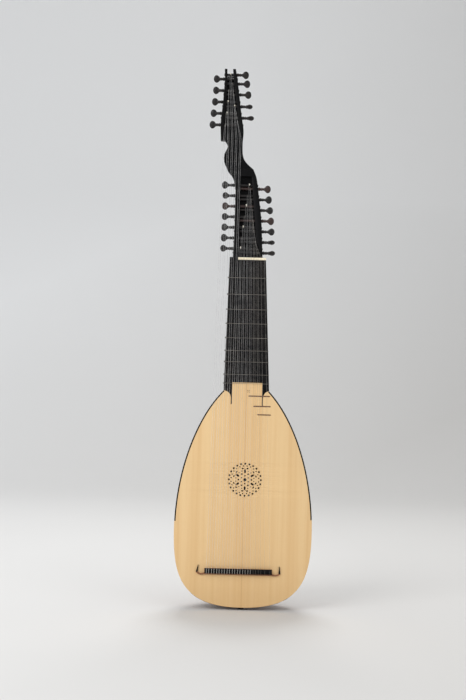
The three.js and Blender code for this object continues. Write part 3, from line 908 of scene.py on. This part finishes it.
def makeTiedFrets():
    for step in range(1, 10):
        node = f"tied_fret_{step}"
        low, high = drawnBox(node)
        z, radius = (low.z + high.z) / 2, (tiedFret["thick"] - tiedFret["thinner"] * step) / 2
        clear = tiedFret["gap"] + radius
        left, right, back = neckLeft(z), neckRight(z), neckBack(z)
        front, behind = -0.1 - radius, body["behindBoard"]
        path = [(left + 1.0, front, z)]
        path += [(left + (right - left) * k / 10, front, z) for k in range(1, 10)]
        path += [(right - 1.0, front, z), (right + clear * 0.7, front + 0.5, z)]
        for turn in spread(0, pi, 24):
            x = (left + right) / 2 + ((right - left) / 2 + clear) * cos(turn)
            path.append((x, behind + (back - behind + clear) * sin(turn), z))
        path.append((left - clear * 0.7, front + 0.5, z))
        parts = [tube(path, radius, 8, loop=True)]
        # the knot: two turns over each other at the bass edge, and two burnt ends
        kx, ky = left - clear - 0.25, 0.5
        for lift in (-1, 1):
            knot = []
            for turn in around(12):
                c, s = cos(turn), sin(turn)
                knot.append((kx - 0.25 + 0.95 * c, ky + s, z + lift * (0.42 + 0.5 * s)))
            parts.append(tube(knot, radius * 0.95, 6, loop=True))
            end = [
                (kx, ky - 0.6, z + lift * 0.5),
                (kx - 0.4, ky - 1.2, z + lift * 1.4),
                (kx - 0.5, ky - 1.3, z + lift * 2.3),
            ]
            parts.append(tube(end, [radius * 0.9, radius * 0.9, radius * 1.25], 6))
        ring = makeMesh(f"{node}_gut", *joined(parts), sharpAngle=60)
        settle(ring, "fretGut", "gut", (node,), f"sliding_fret_{step}")


# ---------- the strings' places

courses = {
    "bridgeFirst": 63.3,
    "bridgeSpacing": 11.75,
    "bridgePair": 5.5,
    "nutFirst": 33.3,
    "nutSpacing": 7.72,
    "nutPair": 2.8,
    "upperFirst": -27.9,
    "upperSpacing": 9.15,
    "upperPair": 3.2,
    "overNut": -1.8,
    "holeDepth": -5.5,
    "lowerWindings": [19, 12.5, 9, 6, 4, 1, -2, -6, -9, -12, -15, -18, -20.5, -22.9],
    "upperWindings": [-37, -41, -45, -48, -52, -55, -57.5, -59.5, -61.5, -64],
    # thickness by course, treble to bass
    "radii": [0.15, 0.15, 0.16, 0.17, 0.18, 0.19, 0.2, 0.2, 0.21, 0.21, 0.22, 0.23, 0.23],
}


def stringPlaces():
    c = courses
    places = []
    for course in range(13):
        long = course > 7
        for side in [0] if course < 2 else [0.5, -0.5]:
            bridge = c["bridgeFirst"] - course * c["bridgeSpacing"] + side * c["bridgePair"]
            if long:
                nut = c["upperFirst"] - (course - 8) * c["upperSpacing"] + side * c["upperPair"]
            else:
                nut = c["nutFirst"] - course * c["nutSpacing"] + side * c["nutPair"]
            radius = c["radii"][course]
            places.append({"long": long, "course": course, "bridge": bridge, "nut": nut, "radius": radius})
    for long, row, windings in ((False, "lower", c["lowerWindings"]), (True, "upper", c["upperWindings"])):
        count = 5 if long else 7
        names = [f"{row}_treble_{k + 1}" for k in range(count)]
        names += [f"{row}_bass_{k + 1}" for k in reversed(range(count))]
        for place, name, winding in zip([p for p in places if p["long"] == long], names, windings):
            place["peg"], place["winding"] = name, winding
    return places


strings = stringPlaces()


def makeNut(node, name, look, low, high, crossings):
    # a block whose crown has a groove for every string
    (x0, _, z0), (x1, back, z1) = low, high
    z0, z1 = z0 + 0.3, z1 - 0.3
    top = -2.15
    rings = []
    stops = {x0, x0 + 0.25, x0 + 0.8, x1 - 0.8, x1 - 0.25, x1}
    for x, radius in crossings:
        for off in (-1.6, -1.05, -0.6, 0, 0.6, 1.05, 1.6):
            if x0 + 0.9 < x + off * radius < x1 - 0.9:
                stops.add(x + off * radius)
    for x in sorted(stops):
        end = min(x - x0, x1 - x, 0.8)
        crown = top + 0.5 * (0.8 - end) ** 2
        for at, radius in crossings:
            near = abs(x - at) / radius
            if near < 1.5:
                crown = max(crown, courses["overNut"] + radius * (0.95 - 0.5 * near * near))
        rings.append(
            [
                (x, back, z0), (x, crown + 0.9, z0), (x, crown + 0.25, z0 + 0.45), (x, crown, z0 + 1.2),
                (x, crown + 0.12, z1 - 1.2), (x, crown + 0.45, z1 - 0.4), (x, crown + 1.1, z1),
                (x, back, z1),
            ]
        )
    block = makeMesh(name, *skin(rings), sharpAngle=40)
    settle(block, look, look, (node,))


def makeNuts():
    for node, look, long in (("nut", "bone", False), ("upper_nut", "ebony", True)):
        crossings = [(s["nut"], s["radius"]) for s in strings if s["long"] == long]
        makeNut(node, f"{node}_grooved", look, *drawnBox(node), crossings)


# ---------- the pegboxes

pegbox = {
    "start": 794.0, "end": 998.0, "lean": math.tan(radians(8)), "floor": 4.5,
    "upperNut": 1058.0, "top": 1222.0,
}


def lowerFront(z):
    return body["boardThick"] + (z - pegbox["start"]) * pegbox["lean"]


lowerBox = {
    "left": through([
        (794, -38.3), (858, -36.5), (926, -35.9), (955, -36.6), (978, -42.9), (991, -53.4), (998, -56.5),
    ]),
    "right": through([(794, 29.3), (878, 24.8), (934, 18), (977, 11.7), (998, 3.7)]),
    "front": lowerFront,
    "back": lambda z: lowerFront(z) + 22 - (z - 794) * 0.012,
}
lowerChannel = {
    "left": lambda z: -25.5,
    "right": straight([(796, 27.8), (805, 24.2), (836, 14), (981, 0.5)]),
    "front": lambda z: lowerFront(z) - 3,
    "back": lambda z: lowerBox["back"](z) - pegbox["floor"],
}
upperBox = {
    "left": through([(1058, -72.1), (1100, -73.3), (1141, -69.6), (1197, -66.5), (1222, -67.1)]),
    "right": through([(1058, -22), (1081, -20.9), (1112, -25.7), (1157, -31.9), (1200, -37.7), (1222, -42)]),
    "front": lambda z: 1.5 + (z - 1058) * 0.05,
    "back": lambda z: 22.5 + (z - 1058) * 0.02,
}
upperChannel = {
    "left": straight([(1066, -68), (1112, -64.5), (1157, -62), (1200, -61), (1230, -61.2)]),
    "right": straight([(1066, -26), (1085, -29.5), (1112, -33.8), (1200, -46), (1230, -49)]),
    "front": lambda z: upperBox["front"](z) - 3,
    "back": lambda z: upperBox["back"](z) - pegbox["floor"],
}
swan = {
    "left": through([(998, -56.5), (1009, -61.8), (1020, -64.4), (1031, -62.3), (1046, -55.9), (1060, -64)]),
    "right": through([(998, 3.7), (1007, -7.2), (1017, -16.6), (1028, -21), (1040, -22.1), (1060, -22.2)]),
    "front": through([(998, lowerFront(998)), (1012, 27), (1036, 9), (1060, 1.5)]),
    "back": through([(998, lowerBox["back"](998)), (1016, 45), (1042, 30), (1060, 22.5)]),
}


def boxSection(edges, z, frontRound, backRound, steps=5):
    # a section with rounded corners, given in millimetres
    left, right, front, back = (edges[k](z) for k in ("left", "right", "front", "back"))
    corners = [
        (left, front, frontRound, pi), (right, front, frontRound, 1.5 * pi),
        (right, back, backRound, 0), (left, back, backRound, 0.5 * pi),
    ]
    ring = []
    for x, y, radius, start in corners:
        cx = x + (radius if x == left else -radius)
        cy = y + (radius if y == front else -radius)
        for k in range(steps + 1):
            turn = start + pi / 2 * k / steps
            ring.append((cx + radius * cos(turn), cy + radius * sin(turn), z))
    return ring


def boxLoft(name, edges, heights, frontRound, backRound, steps=5):
    return makeMesh(name, *skin([boxSection(edges, z, frontRound, backRound, steps) for z in heights]))


pegNodes = [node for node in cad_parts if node.startswith("peg_")]
# how far each row's heads stand out from the pegbox's wall, to the middle of the head
pegReach = {"lower_bass": 23.0, "lower_treble": 22.0, "upper_bass": 18.4, "upper_treble": 20.8}
pegLook = {"shaft": 3.4, "taper": 1 / 60, "headAcross": 8.8, "headAlong": 6.8, "headIn": 8.6}


def pegPlace(node):
    low, high = drawnBox(node)
    row = node[4:].rsplit("_", 1)[0]
    side = -1 if row.endswith("bass") else 1
    reach = pegReach[row]
    tipX, endX = (high.x, low.x) if side < 0 else (low.x, high.x)
    near = endX - side * (reach + pegLook["headAlong"])
    return {
        "side": side, "reach": reach, "near": near,
        "depth": (low.y + high.y) / 2, "height": (low.z + high.z) / 2, "tip": (tipX - near) * side,
    }


def onPeg(peg, spin=0.0):
    # turns (across, up, along) into a point, along the peg's own axis and outwards
    def place(across, up, along):
        c, s = cos(spin), sin(spin)
        y, z = up * c - across * s, up * s + across * c
        return (peg["near"] + peg["side"] * along, peg["depth"] + y, peg["height"] + z)

    return place


def pegCutter(peg):
    # a hole with a little play, past both walls
    play, past = 0.15, 14
    ends = (past, peg["tip"] - past)
    profile = [(pegLook["shaft"] + along * pegLook["taper"] + play, along) for along in ends]
    return makeMesh("cutter", *lathe(profile, 20, onPeg(peg)))


def makePegboxes():
    places = [pegPlace(node) for node in pegNodes]
    start, end = pegbox["start"] + 0.3, pegbox["end"]
    lower = boxLoft("lower_pegbox_carved", lowerBox, spread(start, end, 40), 1.0, 6.0)
    room = boxLoft("room", lowerChannel, (796, 800, 805, 820, 836, 908, 981), 0.4, 1.6, 3)
    cut(lower, [room])
    soften(lower, 0.45, 2, 60)
    cut(lower, [pegCutter(p) for p in places if p["height"] < end])
    settle(lower, "ebony", "ebony", ("lower_pegbox",))

    joint = end + 0.3
    ledge = pegbox["upperNut"]
    rings = [boxSection(swan, z, 3.0, 7.0) for z in spread(joint, ledge, 30)]
    rings += [boxSection(upperBox, z, 1.0, 5.5) for z in spread(ledge + 0.05, pegbox["top"], 40)]
    upper = makeMesh("swan_neck_carved", *skin(rings))
    heights = (1066, 1075, 1085, 1112, 1157, 1200, 1230)
    room = boxLoft("room", upperChannel, heights, 0.4, 1.6, 3)
    fork = {**upperChannel, "back": lambda z: 60.0}
    slot = boxLoft("slot", fork, (1207, 1230), 0.4, 0.5, 2)
    cut(upper, [room, slot])
    soften(upper, 0.45, 2, 60)
    cut(upper, [pegCutter(p) for p in places if p["height"] > end])
    settle(upper, "ebony", "ebony", ("swan_neck",))


# how far each peg happens to be turned, in degrees; the rest face forwards
pegTurns = {
    "peg_lower_treble_1": 57, "peg_lower_treble_2": 62, "peg_lower_treble_3": 28, "peg_lower_treble_5": -14,
    "peg_lower_bass_1": 34, "peg_lower_bass_3": 20, "peg_lower_bass_4": 30, "peg_lower_bass_5": -8,
    "peg_lower_bass_6": 38, "peg_lower_bass_7": 16,
    "peg_upper_treble_1": 64, "peg_upper_treble_2": 66, "peg_upper_bass_2": 9,
}


def pegShaft(peg):
    reach, tip = peg["reach"], peg["tip"]
    r = pegLook["shaft"]
    thin = r + tip * pegLook["taper"]
    profile = [
        (0.2, tip), (thin - 0.5, tip), (thin - 0.1, tip + 0.25), (thin, tip + 0.7), (r, -0.3), (r, 1.0),
        (3.9, 1.3), (4.3, 1.9), (4.4, 2.4), (4.0, 3.0), (3.5, 3.3), (3.3, 3.6), (3.8, 4.0), (3.9, 4.5),
        (3.5, 4.9), (3.15, 5.4), (3.15, 6.4), (3.7, 7.4), (3.8, 8.2), (3.6, 9.0), (3.1, 9.8), (3.0, 10.6),
        (3.05, reach - 9.6), (3.5, reach - 8.4), (4.3, reach - 7.0), (3.9, reach - 4.8), (0.2, reach - 2.6),
    ]
    return lathe(profile, 20, onPeg(peg))


def pegHead(peg, spin):
    # an oval leaf with a soft ridge along its middle on both faces
    place = onPeg(peg, spin)
    across, out, back = (pegLook[k] for k in ("headAcross", "headAlong", "headIn"))
    steps, round_ = 9, 36
    verts, faces = [], []

    def height(share, side):
        rim = 1.25 * max(0.0, 1 - share**5) ** 0.5
        dome = 2.1 * (1 - share * share)
        ridge = 1.35 * math.exp(-((side / 1.5) ** 2)) * (1 - share**4)
        return rim + dome + ridge

    for face in (1, -1):
        start = len(verts)
        verts.append(place(0, face * height(0, 0), peg["reach"]))
        for i in range(1, steps + 1):
            share = sin(pi / 2 * i / steps)
            for k in range(round_):
                turn = fullTurn * k / round_
                # round at the outer end, drawn in towards the neck
                lean = cos(turn)
                drawn = 1 - 0.4 * max(-lean, 0.0) ** 2.2
                side = across * share * sin(turn) * drawn
                lift = face * height(share, side)
                along = (out if lean > 0 else back) * share * lean
                verts.append(place(side, lift, peg["reach"] + along))
        for k in range(round_):
            j = (k + 1) % round_
            faces.append((start, start + 1 + k, start + 1 + j))
            for i in range(steps - 1):
                a, b = start + 1 + i * round_, start + 1 + (i + 1) * round_
                faces.append((a + k, b + k, b + j, a + j))
    rim, other = 1 + (steps - 1) * round_, 1 + steps * round_ + 1 + (steps - 1) * round_
    for k in range(round_):
        j = (k + 1) % round_
        faces.append((rim + k, other + k, other + j, rim + j))
    return verts, faces


def makePegs():
    for node in pegNodes:
        peg = pegPlace(node)
        spin = radians(pegTurns.get(node, 0))
        turned = makeMesh(f"{node}_turned", *joined([pegShaft(peg), pegHead(peg, spin)]), sharpAngle=50)
        warm = node in ("peg_lower_treble_4", "peg_lower_treble_7", "peg_lower_bass_5")
        look = "redPeg" if warm else "pegEbony"
        settle(turned, look, "peg_wood", (node,), node.replace("peg_", "tuning_peg_"))


# ---------- bridge and strings

capFront = drawnBox("bridge_cap")[0].y + 0.35
bridge = {"left": -84.7, "right": 68.1, "low": 74.0, "top": 88.5, "barLow": 77.4, "blockFront": -8.6}
# each spike's foot and tip, counted outwards from the bar's end, and their heights
spikes = {
    "treble": {"inner": 15.2, "outer": 19.3, "foot": 78.5, "tip": 16.9, "top": 95.5},
    "bass": {"inner": 15.5, "outer": 19.8, "foot": 79.5, "tip": 14.3, "top": 95.8},
}


def arcLine(spike):
    # one side of the base from its lower edge round to the bar, as (outwards, height)
    dip = bridge["low"] - 1.6
    under = bezier((0, bridge["low"]), (6, dip), (15, dip), (spike["outer"], spike["foot"]), 14)
    over = bezier((spike["inner"], spike["foot"] + 0.6), (11, dip + 3), (5, dip + 3), (0, 78.8), 14)
    return [(p.x, p.y) for p in (*under, *over)]


def barRings(left, right, step, inset, section):
    # a straight bar whose two ends are drawn in a little
    places = ((left, inset), (left + step, 0), (right - step, 0), (right, inset))
    return [[(x, y, z) for y, z in section(s)] for x, s in places]


def barSection(s):
    y0, y1, z0, z1 = bridge["blockFront"] + s, -3.0, bridge["barLow"] + s, bridge["top"] - s
    return [
        (y1, z0), (y0 + 0.8, z0), (y0, z0 + 0.8), (y0, z1 - 0.8), (y0 + 0.8, z1),
        (-6.6, z1), (-4.6, z1 - 1.2), (y1, z1 - 2.2),
    ]


def makeBridge():
    treble = [(bridge["right"] + out, z) for out, z in arcLine(spikes["treble"])]
    bass = [(bridge["left"] - out, z) for out, z in arcLine(spikes["bass"])]
    top = [(bridge["right"], bridge["top"] - 0.4), (bridge["left"], bridge["top"] - 0.4)]
    base = flatPiece("bridge_base", [treble + top + bass[::-1]], -3.4, 0.0, 0.6)
    settle(base, "bridgeWood", "bridge_wood", ("bridge",))
    for name, edge, side in (("treble", bridge["right"], 1), ("bass", bridge["left"], -1)):
        s = spikes[name]
        corners = [(s["inner"] - 0.1, s["foot"] + 0.4), (s["outer"], s["foot"] - 0.2)]
        corners += [(s["tip"] + d, s["top"] - drop) for d, drop in ((0.35, 0.6), (0, 0), (-0.35, 0.6))]
        outline = [(edge + side * out, z) for out, z in corners]
        point = flatPiece(f"bridge_spike_{name}", [outline], -3.5, -0.2, 0.3)
        settle(point, "ebony", "ebony")
    rings = barRings(bridge["left"], bridge["right"], 0.5, 0.35, barSection)
    block = makeMesh("bridge_bar", *skin(rings), sharpAngle=45)
    drills = []
    for s in strings:
        wide, middle = s["radius"] + 0.35, (s["bridge"], courses["holeDepth"])
        profile = [(wide, bridge["barLow"] - 3), (wide, bridge["top"] + 3)]
        drill = lathe(profile, 10, lambda x, y, z, at=middle: (at[0] + x, at[1] + y, z))
        drills.append(makeMesh("drill", *drill))
    cut(block, drills)
    settle(block, "ebony", "ebony")
    capLow, capHigh = drawnBox("bridge_cap")

    def section(s):
        y0, y1, z0, z1 = capFront + s, capHigh.y, capLow.z + s, capHigh.z - s
        return [(y1, z0), (y0 + 0.3, z0), (y0, z0 + 0.3), (y0, z1 - 0.3), (y0 + 0.3, z1), (y1, z1)]

    rings = barRings(capLow.x, capHigh.x, 0.4, 0.2, section)
    cap = makeMesh("bridge_cap_strip", *skin(rings), sharpAngle=45)
    settle(cap, "ebony", "ebony", ("bridge_cap",))


def makeStrings():
    c = courses
    for i, s in enumerate(strings):
        r, x = s["radius"], s["bridge"]
        node = "bass_strings" if s["long"] else "fretted_strings"
        peg = pegPlace(f"peg_{s['peg']}")
        nutLow, nutHigh = drawnBox("upper_nut" if s["long"] else "nut")
        shaft = pegLook["shaft"] - abs(s["winding"] - peg["near"]) * pegLook["taper"] + r + 0.06
        front, top = capFront - r * 0.2, bridge["top"] + 0.6
        loop = [
            (x, c["holeDepth"], bridge["barLow"] + 2), (x, c["holeDepth"], bridge["barLow"] - 0.5),
            (x, -8.0, bridge["barLow"] - 1.0), (x, front, bridge["barLow"] + 0.6),
            (x + 0.2, front, top - 1.5), (x + 0.3, front + 1.2, top + 0.4), (x, -6.4, top + 0.7),
            (x - 0.9, -5.2, top + 0.9),
        ]
        crossing = (nutLow.z + nutHigh.z) / 2
        length = [
            (x, c["holeDepth"], bridge["barLow"] + 1.5), (x, c["holeDepth"], bridge["top"] + 2),
            (s["nut"], c["overNut"], nutLow.z + 0.4), (s["nut"], c["overNut"], crossing + 0.6),
            (s["winding"], peg["depth"] - shaft, peg["height"]),
        ]
        run = makeMesh(f"string_{i + 1:02d}", *tube(length, r, 8), sharpAngle=60)
        thick = s["course"] > 3
        settle(run, "bassGut" if thick else "trebleGut", "gut", (node,))
        knot = makeMesh(f"string_loop_{i + 1:02d}", *tube(rounded(loop, 1.2), r * 1.25, 8), sharpAngle=60)
        settle(knot, "paleEnd" if thick else "fretGut", "gut")
        makeWinding(i, s, peg, shaft)


def makeWinding(i, s, peg, shaft):
    # four turns round the shaft, and on some pegs a pale cut end that stands out
    r, turns = s["radius"], 4
    inward = -peg["side"]
    path = []
    for k in range(turns * 14 + 1):
        turn = fullTurn * k / 14
        x = s["winding"] + inward * k / 14 * 2.1 * r
        x = min(max(x, wallInside(peg, -1) + r), wallInside(peg, 1) - r)
        path.append((x, peg["depth"] - shaft * cos(turn), peg["height"] + shaft * sin(turn)))
    wound = makeMesh(f"winding_{i + 1:02d}", *tube(path, r * 0.98, 7), sharpAngle=60)
    # the windings take the darker gut copy: painted shade
    settle(wound, "windingShadeGut", "gut", (), f"tuning_peg_{s['peg']}")
    if s["peg"] in tailTufts:
        last, long = Vector(path[-1]), tailTufts[s["peg"]]
        parts = []
        for lean in (-0.5, 0.1, 0.7):
            bend = [last, last + Vector((lean, -1.4, 0.5)), last + Vector((lean * 1.8, -2.4, long * 0.5))]
            bend.append(last + Vector((lean * 1.4, -2.0, long)))
            parts.append(tube(rounded(bend, 1.0), 0.42, 6))
        tuft = makeMesh(f"string_end_{i + 1:02d}", *joined(parts), sharpAngle=60)
        settle(tuft, "paleEnd", "gut", (), f"tuning_peg_{s['peg']}")


def wallInside(peg, side):
    channel = lowerChannel if peg["height"] < pegbox["end"] else upperChannel
    return channel["left"](peg["height"]) + 0.3 if side < 0 else channel["right"](peg["height"]) - 0.3


# how far a cut end stands up from its peg, where one does
tailTufts = {
    "lower_bass_1": 4.5, "lower_bass_3": 4.0, "lower_bass_5": 5.0, "lower_bass_7": 3.5,
    "upper_bass_2": 3.0, "upper_bass_3": 3.0, "upper_treble_2": 3.0, "upper_treble_5": 3.0,
}


def makeOrnament():
    # a small inlaid flower of four petals where the tongue begins
    x, z, petals = 5.0, 490.5, []
    for k in range(4):
        turn = radians(45 + 90 * k)
        c, s = cos(turn), sin(turn)
        petal = [(0.7, 0), (2.2, 0.85), (4.2, 0), (2.2, -0.85)]
        petals.append([(x + a * c - b * s, z + a * s + b * c) for a, b in petal])
    inlay = flatPiece("inlaid_flower", petals, -0.05, 0.6, 0.04)
    settle(inlay, "fretWood", "fret_wood")


makeBowl()
print("bowl made")
makeSoundboard()
makeEdgings()
makeOrnament()
print("soundboard made")
makeStrapButton()
makeNeck()
makeFingerboard()
makeBodyFrets()
makeTiedFrets()
makeNuts()
print("neck made")
makePegboxes()
makePegs()
print("pegboxes and pegs made")
makeBridge()
makeStrings()
print("bridge and strings made")

# nodes that keep their own shape
kept = {
    "softwood": ["end_liner", "neck_block"] + [f"soundboard_bar_{k}" for k in range(1, 6)],
    "steel": ["neck_screw"],
    "ribs": ["end_clasp"],
}
for look, nodes in kept.items():
    for node in nodes:
        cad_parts[node].data.materials.clear()
        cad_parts[node].data.materials.append(looks[look])

# ---------- room, light and camera

room = {
    # floor and wall: two tones of one paper; the darker floor is painted shade
    "floor": colour(0.63, 0.62, 0.605),
    "wall": colour(0.885, 0.888, 0.89),
    "wallAt": 4.4,
    "bend": 2.0,
    "skyStrength": 0.61,
}


def makeRoom():
    # a floor that bends up into a wall
    bend, start = room["bend"], room["wallAt"] - room["bend"]
    profile = [(-6.0, 0.0), (start, 0.0)]
    for k in range(1, 13):
        turn = pi / 2 * k / 12
        profile.append((start + bend * sin(turn), bend - bend * cos(turn)))
    profile.append((room["wallAt"], 7.0))
    verts = [(x, y, z) for y, z in profile for x in (-8.0, 8.0)]
    faces = [(2 * k, 2 * k + 1, 2 * k + 3, 2 * k + 2) for k in range(len(profile) - 1)]
    mesh = bpy.data.meshes.new("sweep")
    mesh.from_pydata(verts, [], faces)
    shade(mesh, 60)
    sweep = linked("sweep", mesh)
    material, tree, shader, where = startMaterial("paperSweep", 0.9, Specular_IOR_Level=0.2)
    parts = partsOf(tree, where)
    # painted shade: the sweep darker on the floor and towards the right, paler up the wall and to the left,
    # with a little random tone
    tone = times(tree, noise(tree, where, 1.2, 2.0), 0.1)
    drift = calc(tree, "ADD", times(tree, parts[0], -0.3), tone)
    share = calc(tree, "ADD", ranged(tree, parts[2], 0.0, 1.4, 0.06, 0.95), drift, True)
    base = blended(tree, share, room["floor"], room["wall"])
    tree.links.new(base, shader.inputs["Base Color"])
    mesh.materials.append(material)
    sweep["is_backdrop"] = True


def addLight(name, place, aim, size, power):
    light = bpy.data.lights.new(name, "AREA")
    light.shape = "RECTANGLE"
    light.size, light.size_y = size
    light.energy = power
    lamp = linked(name, light)
    lamp.location = place
    lamp.rotation_euler = (Vector(aim) - Vector(place)).to_track_quat("-Z", "Y").to_euler()


# place, the height it aims at over the origin, size and power
lights = {
    "key": ((-2.2, -2.6, 2.4), 0.6, (2.2, 2.2), 63.0),
    "fill": ((2.6, -2.4, 1.4), 0.5, (2.4, 2.4), 21.0),
    "top": ((0.1, 1.3, 2.8), 0.1, (1.3, 1.0), 42.0),
}


def addLights():
    for name, (place, aim, size, power) in lights.items():
        addLight(name, place, (0, 0, aim), size, power)
    sky = bpy.data.worlds.new("sky")
    sky.use_nodes = True
    shader = sky.node_tree.nodes["Background"]
    shader.inputs["Color"].default_value = (0.97, 0.985, 1.0, 1.0)
    shader.inputs["Strength"].default_value = room["skyStrength"]
    bpy.context.scene.world = sky


viewpoint = {"across": -32.5, "height": 583.3, "distance": 3.2, "roll": 1.44, "lens": 72.62}


def addCamera():
    camera = bpy.data.cameras.new("camera")
    camera.lens = viewpoint["lens"]
    camera.sensor_width = 36
    eye = linked("camera", camera)
    c, s = cos(radians(viewpoint["roll"])), sin(radians(viewpoint["roll"]))
    turn = Matrix(((c, -s, 0, 0), (0, 0, -1, 0), (s, c, 0, 0), (0, 0, 0, 1)))
    place = inRow((viewpoint["across"], 0, viewpoint["height"]))
    place.y -= viewpoint["distance"]
    eye.matrix_world = Matrix.Translation(place) @ turn
    bpy.context.scene.camera = eye


makeRoom()
addLights()
addCamera()
bpy.context.scene.view_settings.view_transform = "Standard"
print("room, lights and camera made")

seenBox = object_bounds()
boxes = {"cad": cadBox, "visual": seenBox}
{k: [[float(v) for v in corner] for corner in box] for k, box in boxes.items()}
